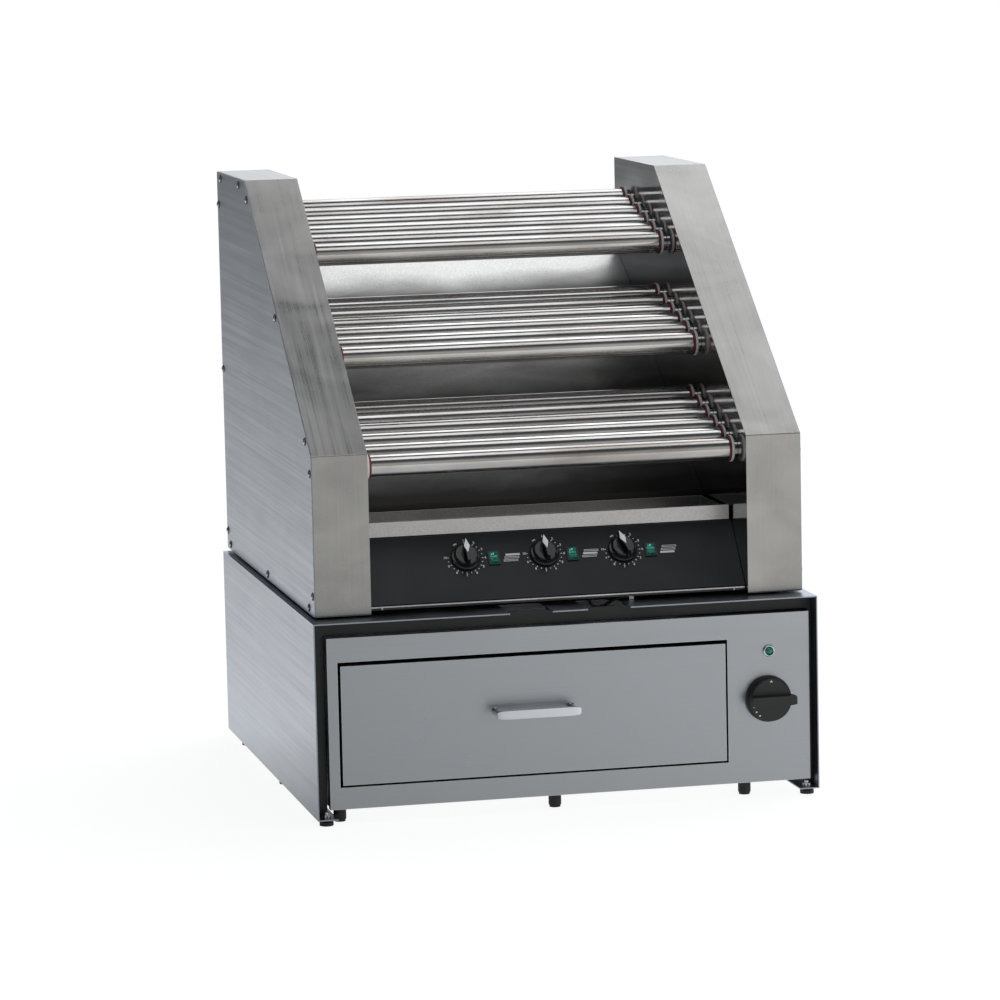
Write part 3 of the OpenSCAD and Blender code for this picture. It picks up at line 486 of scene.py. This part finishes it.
def make_studio():
    """Walls by direction: bright at the back right, paler in front, dark above. Seen as white."""
    scene.world = bpy.data.worlds.new("studio")
    scene.world.use_nodes = True
    sky = Nodes(scene.world.node_tree)
    output = sky.tree.nodes["World Output"]
    sky.tree.nodes.remove(sky.tree.nodes["Background"])
    direction = sky.node("TexCoord").outputs["Generated"]
    split = sky.node("SeparateXYZ", {"Vector": direction}).outputs
    x, y, z = split["X"], split["Y"], split["Z"]
    back = sky.math("MULTIPLY", sky.ramp(y, 0.0, 0.25), sky.ramp(x, -0.24, 0.20))
    back = sky.math("MULTIPLY", back, sky.ramp(z, 0.95, 0.78))
    front = sky.math("MULTIPLY", sky.ramp(y, 0.0, -0.25), sky.ramp(x, -0.10, 0.55))
    front = sky.math("MULTIPLY", front, sky.ramp(z, 0.60, 0.34))
    wall = sky.mix(back, DARK_CEILING, BACK_WALL)
    wall = sky.mix(front, wall, FRONT_WALL)
    studio = sky.node("Background", {"Color": wall, "Strength": 1.0}).outputs[0]
    plain = sky.node("Background", {"Color": WHITE, "Strength": 1.0}).outputs[0]
    seen = sky.node("LightPath").outputs["Is Camera Ray"]
    both = sky.node("MixShader", {0: seen, 1: studio, 2: plain}).outputs[0]
    sky.tree.links.new(both, output.inputs["Surface"])


make_floor()
scene.view_settings.view_transform = "Standard"
make_studio()
area_light("overhead_strip", (0.5, -0.75, 2.6), (0.4, -0.45, 0.0), (3.4, 1.0), 13.5)
area_light("overhead_back", (0.85, 0.85, 2.6), (0.7, 0.45, 0.4), (1.7, 1.0), 8.0)


# ---- Sheet metal and turned parts, with their bends and edges rounded -------

# These sheets get a painted highlight on their rounded edges.
HIGHLIGHT_EDGED = ("stand_cover", "left_wrap", "right_wrap", "left_side_cover", "right_side_cover",
                "warmer_front", "drawer_front", "drip_tray")
EDGE_WIDTHS = {
    "stand_cover": 0.5, "stand_face_frame": 0.4, "warmer_front": 0.4, "drawer_front": 0.45,
    "left_wrap": 0.7, "right_wrap": 0.7, "left_side_cover": 0.3, "right_side_cover": 0.3,
    "drip_tray": 0.35, "control_panel": 0.4, "deflectors": 0.35, "switch_bezels": 0.3,
    "roller_seals": 0.5, "back_panel": 0.3, "base_pan": 0.3, "warmer_cabinet": 0.3,
    "drawer_tub": 0.3, "feet": 0.7, "rocker_bottom": 0.35, "rocker_middle": 0.35,
    "rocker_top": 0.35,
}
ROLLER_EDGE = 0.6

SHAPED = {name: refine(name, width, highlight_edges=name in HIGHLIGHT_EDGED)
          for name, width in EDGE_WIDTHS.items()}
# Painted shade on the sheets under the rollers, their tops and their undersides.
paint_sheet_shade(SHAPED["deflectors"])
# Painted shade: the base pan's lip under the control panel is near-black.
SHAPED["base_pan"].data.materials[0] = MATERIALS["shade_black_steel"]
for tier in TIERS:
    for index in range(1, ROLLERS_PER_TIER + 1):
        refine(f"roller_{tier}_{index}", ROLLER_EDGE)


JOURNAL_BORE = 9.3
FLANGE_R, FLANGE_EDGE_R = 17.4, 16.9
FLANGE_FROM, FLANGE_TO = 239.05, 242.2
FLANGE_CHAMFER_FROM, FLANGE_CHAMFER_TO = 239.5, 241.7
SLEEVE_R = 11.6
SLEEVE_FROM, SLEEVE_TO = 242.25, 247.95
FLANGE_PROFILE = ((JOURNAL_BORE, FLANGE_FROM), (FLANGE_EDGE_R, FLANGE_FROM),
                  (FLANGE_R, FLANGE_CHAMFER_FROM), (FLANGE_R, FLANGE_CHAMFER_TO),
                  (FLANGE_EDGE_R, FLANGE_TO), (JOURNAL_BORE, FLANGE_TO),
                  (JOURNAL_BORE, FLANGE_FROM))
SLEEVE_PROFILE = ((JOURNAL_BORE, SLEEVE_FROM), (SLEEVE_R, SLEEVE_FROM), (SLEEVE_R, SLEEVE_TO),
                  (JOURNAL_BORE, SLEEVE_TO), (JOURNAL_BORE, SLEEVE_FROM))


def roller_bearings():
    """A white flange beside each roller's seal, and a slim bright sleeve on to the wall."""
    rings, sleeves = bmesh.new(), bmesh.new()
    for tier in TIERS:
        for index in range(1, ROLLERS_PER_TIER + 1):
            centre = Vector(JOINTS[f"{tier}_roller_{index}_spin"]["pos_m"])
            for side in (-1, 1):
                place = Matrix.Translation((0, centre.y, centre.z)) @ turned_by(90.0 * side, "Y")
                turn(rings, place, FLANGE_PROFILE, 40)
                turn(sleeves, place, SLEEVE_PROFILE, 32)
    stand_for(finish_mesh(rings, "shaped_roller_bearings", "bearing_ptfe"), "roller_bearings")
    sleeve = add_piece(sleeves, "bearing_sleeves", "wall_steel", "root")
    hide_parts("roller_bearings")


roller_bearings()


# ---- Control panel: knobs, dials, switch marks ------------------------------

PANEL_SLOPE = 50.0
KNOB_REST = {"bottom": 18.0, "middle": 5.0, "top": 0.0}
SWITCH_FROM_KNOB = (37.0, -3.0)
ROCKER_TIP = 7.0
ROCKER_PIVOT = -2.0
ROCKER_FACE = 2.4
RAISED_HALF = 3.4  # from the rocker's middle to where its raised half starts to climb
RAISED_SLOPE = math.degrees(math.atan2(1.3, 3.5))
PRINT_LOW, PRINT_HIGH = -0.05, 0.09
SCALE_R = 22.3
NUMBER_R = 26.2
NUMBER_SIZE = 4.6
OFF_ANGLE = 27.0
FIRST_ANGLE = -3.0
SCALE_SWEEP = 270.0
SCALE_STEPS = 18  # every other one carries a number
BAR_LENGTH, BAR_PITCH, BAR_STAGGER = 19.0, 4.3, 1.8


def joint_place(joint):
    return Matrix.Translation(Vector(JOINTS[joint]["pos_m"]))


def knob_frame(tier):
    """X across the panel, Y up its slope, Z out of it, from a heat knob's middle."""
    return joint_place(tier + "_heat_turn") @ turned_by(PANEL_SLOPE, "X")


def heat_knob(tier):
    """Glossy pointer knob: skirt, drum and a faceted pointer with a metal lozenge let in."""
    place = knob_frame(tier) @ turned_by(KNOB_REST[tier], "Z")
    bm = bmesh.new()
    turn(bm, place, [(0, 1.4), (19, 1.4), (19, 2.9), (17.8, 4.4), (15.6, 5.0), (14.8, 8.6),
                     (13.6, 9.8), (0, 9.8)], 64)
    round_edges(bm, 0.35)
    foot = [(0, 18), (4.5, 12), (4.5, -13), (3, -16.5), (-3, -16.5), (-4.5, -13), (-4.5, 12)]
    waist = [(0, 18), (4.4, 8), (4.3, -9), (2.8, -16), (-2.8, -16), (-4.3, -9), (-4.4, 8)]
    crest = [(0, 17.9), (4.4, 6.2), (1.9, -3), (1.6, -14.8), (-1.6, -14.8), (-1.9, -3),
             (-4.4, 6.2)]
    bar = bmesh.new()
    levels = ((foot, 4), (waist, 11), (crest, 19.6))
    loft(bar, place, [[(x, y, z) for x, y in ring] for ring, z in levels])
    round_edges(bar, 0.4, 2, 25.0)
    merge(bm, bar)
    node = "heat_knob_" + tier
    stand_for(finish_mesh(bm, "shaped_" + node, "knob_plastic", 32.0), node)
    lozenge = bmesh.new()
    slab(lozenge, place, [(0, 17.3), (-3.8, 6.2), (0, -3.6), (3.8, 6.2)], 19.5, 20.0)
    round_edges(lozenge, 0.12, 1)
    add_piece(lozenge, "pointer_inlay_" + tier, "inlay_metal", node)


def numeral(text, size, place):
    """A number as a thin raised print, centred on the place."""
    curve = bpy.data.curves.new("numeral", "FONT")
    curve.body = text
    curve.size = size * MM
    curve.extrude = 0.05 * MM
    curve.offset = 0.14 * MM
    curve.align_x = curve.align_y = "CENTER"
    curve.resolution_u = 2
    shown = bpy.data.objects.new("numeral", curve)
    mesh = bpy.data.meshes.new_from_object(shown)
    mesh.transform(place)
    bpy.data.objects.remove(shown)
    bpy.data.curves.remove(curve)
    return mesh


def dial(tier):
    """Printed scale: a bar where the knob is off, then numbers with dots between them."""
    place = knob_frame(tier)
    bm = bmesh.new()
    slab(bm, place @ turned_by(OFF_ANGLE, "Z"), oblong(-2.4, 2.4, SCALE_R, SCALE_R + 2.0),
         PRINT_LOW, PRINT_HIGH)
    for step in range(SCALE_STEPS + 1):
        angle = FIRST_ANGLE - step * SCALE_SWEEP / SCALE_STEPS
        turned_place = place @ turned_by(angle, "Z")
        if step % 2:
            slab(bm, turned_place, disc(0, SCALE_R + 0.6, 0.75, 12), PRINT_LOW, PRINT_HIGH)
            continue
        slab(bm, turned_place, oblong(-0.45, 0.45, SCALE_R - 0.8, SCALE_R + 1.4),
             PRINT_LOW, PRINT_HIGH)
        upright = turned_place @ shift(0, NUMBER_R, 0.04) @ turned_by(-angle, "Z")
        mesh = numeral(str(step // 2 + 1), NUMBER_SIZE, upright)
        bm.from_mesh(mesh)
        bpy.data.meshes.remove(mesh)
    add_piece(bm, "dial_print_" + tier, "print_white", "root")


def frame_strip(bm, place, x0, x1, y0, y1, line):
    """The outline of an oblong as four thin strips."""
    for strip in (oblong(x0, x1, y0, y0 + line), oblong(x0, x1, y1 - line, y1),
                  oblong(x0, x0 + line, y0 + line, y1 - line),
                  oblong(x1 - line, x1, y0 + line, y1 - line)):
        slab(bm, place, strip, PRINT_LOW, PRINT_HIGH)


def tier_mark(tier):
    """Picture beside a switch: three bars in a stack, with the switch's own tier solid."""
    place = knob_frame(tier) @ shift(*SWITCH_FROM_KNOB, 0)
    bm = bmesh.new()
    for row, name in enumerate(TIERS):
        y = (row - 1) * BAR_PITCH
        x = 12.5 + BAR_STAGGER * row
        if name == tier:
            slab(bm, place, oblong(x, x + BAR_LENGTH, y - 1.5, y + 1.5), PRINT_LOW, PRINT_HIGH)
        else:
            frame_strip(bm, place, x, x + BAR_LENGTH, y - 1.4, y + 1.4, 0.75)
    add_piece(bm, "tier_mark_" + tier, "print_white", "root")


def rocker_highlight(tier):
    """Two pale, glowing bars on the rocker's raised half: a painted highlight."""
    pivot = knob_frame(tier) @ shift(*SWITCH_FROM_KNOB, ROCKER_PIVOT) @ turned_by(-ROCKER_TIP, "X")
    place = pivot @ shift(0, RAISED_HALF, ROCKER_FACE - ROCKER_PIVOT) @ turned_by(RAISED_SLOPE, "X")
    bm = bmesh.new()
    slab(bm, place, oblong(-0.6, 0.6, 0.5, 3.0), -0.1, 0.12)
    slab(bm, place, oblong(-3.4, -1.8, 0.6, 1.5), -0.1, 0.10)
    add_piece(bm, "rocker_mark_" + tier, "mark_green", "rocker_" + tier)


for tier in TIERS:
    heat_knob(tier)
    dial(tier)
    tier_mark(tier)
    rocker_highlight(tier)


# ---- Bun warmer: knob, lamp and handle --------------------------------------

def facing_front(x, y, z):
    """X to the right, Y up and Z towards the operator."""
    return shift(x, y, z) @ turned_by(90.0, "X")


LAMP_AT = (267.0, -324.0, 190.5)
KNOB_CENTRE = joint_place("warmer_heat_turn") @ turned_by(90.0, "X")


def warmer_knob():
    """Matt disc with a stepped face and a bar to hold; the bar ends in a tab."""
    bm = bmesh.new()
    turn(bm, KNOB_CENTRE, [(0, 0.5), (29.2, 0.5), (30, 1.3), (30, 5.2), (29.4, 6.3), (28.4, 6.5),
                           (28, 7.2), (27.5, 15.8), (26.5, 17), (0, 17)], 96)
    bar_half, rim_r, steps = 7, 29, 8
    reach = [math.asin(bar_half / rim_r) * (1 - 2 * k / steps) for k in range(steps + 1)]
    left = [(-28.6 * math.cos(a), -rim_r * math.sin(a)) for a in reversed(reach)]
    bar = bmesh.new()
    lower = [(32, -5.5), (32, 5.5), (26, 7)] + left + [(26, -7)]
    upper = ([(31.6, -4.8), (31.6, 4.8), (25, 6)] + [(x + 1, y * 0.85) for x, y in left]
             + [(25, -6)])
    levels = ((lower, 16.4), (upper, 27.4))
    loft(bar, KNOB_CENTRE, [[(x, y, z) for x, y in ring] for ring, z in levels])
    round_edges(bar, 1.0, 3, 40.0)
    merge(bm, bar)
    stand_for(finish_mesh(bm, "shaped_warmer_knob", "knob_matt", 32.0), "warmer_knob")
    marks = bmesh.new()
    for angle in (90, 108, 125, 141):
        slab(marks, KNOB_CENTRE @ turned_by(angle, "Z"), oblong(-0.9, 0.9, 23.8, 25.9), 16.9, 17.12)
    slab(marks, KNOB_CENTRE, [(-1.8, 23.6), (1.8, 23.6), (0, 26.2)], 16.9, 17.12)
    add_piece(marks, "warmer_knob_marks", "print_white", "warmer_knob")


def warmer_lamp():
    """Chrome bezel round a domed green lens."""
    place = facing_front(*LAMP_AT)
    ring = bmesh.new()
    turn(ring, place, [(5.3, -10), (5.3, 0.0), (8, 0.0), (8, 1.2), (7.6, 2.3), (6.8, 3.0),
                       (5.9, 2.9), (5.3, 2.2), (4.4, 1.6), (4.3, -10), (5.3, -10)])
    stand_for(finish_mesh(ring, "shaped_lamp_bezel", "handle_chrome", 60.0), "warmer_lamp_bezel")
    glass = bmesh.new()
    turn(glass, place, [(0, -8), (4.1, -8), (4.1, 2.6), (3.6, 3.6), (2.4, 4.3), (0, 4.6)], 40)
    stand_for(finish_mesh(glass, "shaped_lamp_lens", "green_lens", 60.0), "warmer_lamp_lens")


LEG_X = 49.5
HANDLE_REACH = 35.6  # from the front of the pull back to the drawer


def drawer_handle():
    """Flat-sided chrome pull whose ends narrow where they turn into the legs."""
    low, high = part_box("drawer_handle")
    middle = shift((low[0] + high[0]) / 2 / MM, low[1] / MM, (low[2] + high[2]) / 2 / MM)
    bm = bmesh.new()
    sections = [[(x, front, -half), (x, front, half), (x, back, half), (x, back, -half)]
                for x, front, back, half in ((-54.6, 1.8, 5.2, 3.2), (-53, 0.7, 5.8, 4.3),
                                             (-48, 0.0, 6.0, 5.2), (-40, 0.0, 6.0, 5.5))]
    sections += [[(-x, y, z) for x, y, z in section] for section in reversed(sections)]
    loft(bm, middle, sections)
    round_edges(bm, 2.3, 4, 40.0)
    legs = bmesh.new()
    for side in (-1, 1):
        turn(legs, middle @ shift(side * LEG_X, HANDLE_REACH, 0) @ turned_by(90.0, "X"),
             [(0, 0), (5.5, 0), (5.5, 1.4), (5.1, 2.2), (4.5, 2.6), (4.1, 4.2), (4.2, 14),
              (4.4, 30), (0, 30.6)])
    merge(bm, legs)
    stand_for(finish_mesh(bm, "shaped_drawer_handle", "handle_chrome", 50.0), "drawer_handle")


warmer_knob()
warmer_lamp()
drawer_handle()


# ---- Screws, foot hardware and the lead -------------------------------------

HEAD_R, HEAD_HEIGHT, SHANK = 4.0, 2.4, 6.0


def pan_head(bm, place, radius=HEAD_R, height=HEAD_HEIGHT, length=SHANK):
    """Domed screw head with a cross recess, its shank below it along -Z."""
    sides = 24
    dome = [(radius, 0.0), (radius, 0.35 * height), (0.93 * radius, 0.68 * height),
            (0.78 * radius, 0.9 * height), (0.62 * radius, height)]
    turn(bm, place, [(0, -length), (radius / 2, -length), (radius / 2, 0), *dome], sides)
    rim_r, arm, half = 0.62 * radius, 0.52 * radius, 0.13 * radius
    cross = []
    for quarter in range(4):
        spin = Matrix.Rotation(quarter * math.pi / 2, 3, "Z")
        cross += [spin @ Vector(p) for p in ((half, half, 0), (half, arm, 0), (-half, arm, 0))]
    rim = disc(0, 0, rim_r, sides)
    loops = []
    for points, z in ((rim, height), (cross, height), (cross, 0.45 * height)):
        loops.append([bm.verts.new(place @ (MM * Vector((p[0], p[1], z)))) for p in points])
    rim_edges = [bm.edges.new((loops[0][k], loops[0][(k + 1) % sides])) for k in range(sides)]
    corners = [(k, (k + 1) % len(cross)) for k in range(len(cross))]
    mouth_edges = [bm.edges.new((loops[1][k], loops[1][after])) for k, after in corners]
    bmesh.ops.triangle_fill(bm, use_beauty=True, edges=rim_edges + mouth_edges)
    for k, after in corners:
        bm.faces.new((loops[1][k], loops[1][after], loops[2][after], loops[2][k]))
    bm.faces.new(loops[2])


def islands(mesh):
    """The lowest and highest corner of each separate solid in a mesh, in a fixed order."""
    bm = bmesh.new()
    bm.from_mesh(mesh)
    bmesh.ops.remove_doubles(bm, verts=bm.verts, dist=WELD)
    left, found = set(bm.verts), []
    while left:
        edge, part = [left.pop()], []
        while edge:
            vert = edge.pop()
            part.append(vert.co.copy())
            for link in vert.link_edges:
                other = link.other_vert(vert)
                if other in left:
                    left.discard(other)
                    edge.append(other)
        low = Vector([min(p[i] for p in part) for i in range(3)])
        high = Vector([max(p[i] for p in part) for i in range(3)])
        found.append((low, high))
    bm.free()
    return sorted(found, key=lambda pair: tuple(round(v, 5) for v in pair[0]))


SLOT_TURN = 37.0  # each screw's cross is turned this much from the one before
WASHER_PROFILE = ((2.1, 0.02), (5.3, 0.02), (5.3, 0.5), (4.9, 0.8), (2.1, 0.8), (2.1, 0.02))


def cover_screws():
    """Pan heads down both side covers, each on a dark washer."""
    bm, washers = bmesh.new(), bmesh.new()
    for index, (low, high) in enumerate(islands(NODES["cover_screws"].data)):
        middle = (low + high) / 2
        side = 1 if middle.x > 0 else -1
        face = (high.x - HEAD_HEIGHT * MM) if side > 0 else (low.x + HEAD_HEIGHT * MM)
        place = (Matrix.Translation((face, middle.y, middle.z)) @ turned_by(90.0 * side, "Y")
                 @ turned_by(SLOT_TURN * index, "Z"))
        pan_head(bm, place)
        turn(washers, place, WASHER_PROFILE, 24)
    add_piece(washers, "cover_screw_washers", "foot_rubber", "root")
    bmesh.ops.remove_doubles(bm, verts=bm.verts, dist=1e-6)
    stand_for(finish_mesh(bm, "shaped_cover_screws", "screw_steel", 30.0), "cover_screws")


FOOT_X = 317.0
FOOT_DEPTHS = (14.0, 300.0, 590.0)
FLANGE_TOP = 9.5
NUT_R, NUT_TOP = 5.7, 4.2


def foot_hardware():
    """A bright stud with a hexagon nut over each stand foot."""
    bm = bmesh.new()
    for side in (-1, 1):
        for depth in FOOT_DEPTHS:
            place = shift(side * FOOT_X, depth - FRONT_TO_ORIGIN, FLANGE_TOP)
            slab(bm, place, disc(0, 0, NUT_R, 6), 0.1, NUT_TOP)
            turn(bm, place, [(0, NUT_TOP), (3.1, NUT_TOP), (3.1, 7.4), (2.4, 8.1), (0, 8.1)], 24)
    round_edges(bm, 0.25, 2, 35.0)
    add_piece(bm, "foot_hardware", "screw_steel", "root")


LEAD_R = 2.0
LEAD_BEND = 9.0
LEAD_START = (44.0, 62.0 - FRONT_TO_ORIGIN, 266.0)


def lead_route():
    """The lead's middle line, the same points as the solid that it stands for."""
    x, y, z = LEAD_START
    route = [LEAD_START, (x, y, z - 2.5)]
    for degrees in range(0, 90, 15):
        a = math.radians(degrees)
        route.append((x + LEAD_BEND * (1 - math.cos(a)), y, z - 5 - LEAD_BEND * math.sin(a)))
    rest = ((57, 61.7, 252.2), (62, 61.2, 253.6), (67, 60.6, 256.2), (72, 60, 259.3),
            (76.5, 59.4, 261.6), (81, 58.9, 262.8), (87, 58.4, 263.1), (94, 58, 263))
    return route + [(px, py - FRONT_TO_ORIGIN, pz) for px, py, pz in rest]


def control_lead():
    """The lead as one curve, with a gland where it leaves the floor and a clip at its far end."""
    route = lead_route()
    curve = bpy.data.curves.new("control_lead", "CURVE")
    curve.dimensions = "3D"
    curve.bevel_depth = LEAD_R * MM
    curve.bevel_resolution = 4
    curve.resolution_u = 6
    curve.use_fill_caps = True
    spline = curve.splines.new("BEZIER")
    spline.bezier_points.add(len(route) - 1)
    for point, at in zip(spline.bezier_points, route):
        point.co = MM * Vector(at)
        point.handle_left_type = point.handle_right_type = "AUTO"
    curve.materials.append(MATERIALS["lead_rubber"])
    lead = bpy.data.objects.new("control_lead_cord", curve)
    scene.collection.objects.link(lead)
    stand_for(lead, "control_lead")

    gland = bmesh.new()
    turn(gland, shift(*LEAD_START) @ turned_by(180.0, "X"),
         [(2.05, 0.1), (5, 0.1), (5, 1.6), (4.4, 2.4), (3.2, 3.0), (2.3, 3.0), (2.05, 2.6),
          (2.05, 0.1)], 32)
    seated = add_piece(gland, "lead_gland", "foot_rubber", "root", 50.0)
    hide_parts("control_lead")
    clip = bmesh.new()
    slab(clip, shift(*route[-1]), oblong(0, 6, -4, 4), -2.5, 2.9)
    round_edges(clip, 0.8, 3)
    held = add_piece(clip, "lead_clip", "screw_steel", "root")
    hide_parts("control_lead")


TRIM_HALF = 246.5
TRIM_HEIGHTS = (269.0, 270.6)
TRIM_SCREW_X, TRIM_SCREW_Z = 232.0, 267.6


def panel_trim():
    """Bright strip along the control panel's lower lip, with a small screw near each end."""
    bm = bmesh.new()
    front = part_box("base_pan")[0][1] / MM
    slab(bm, facing_front(0, front, 0), oblong(-TRIM_HALF, TRIM_HALF, *TRIM_HEIGHTS), 0.0, 0.7)
    round_edges(bm, 0.25)
    for side in (-1, 1):
        pan_head(bm, facing_front(side * TRIM_SCREW_X, front, TRIM_SCREW_Z), 1.7, 1.2, 0.5)
    add_piece(bm, "panel_trim", "screw_steel", "root", 30.0)


cover_screws()
foot_hardware()
control_lead()
panel_trim()
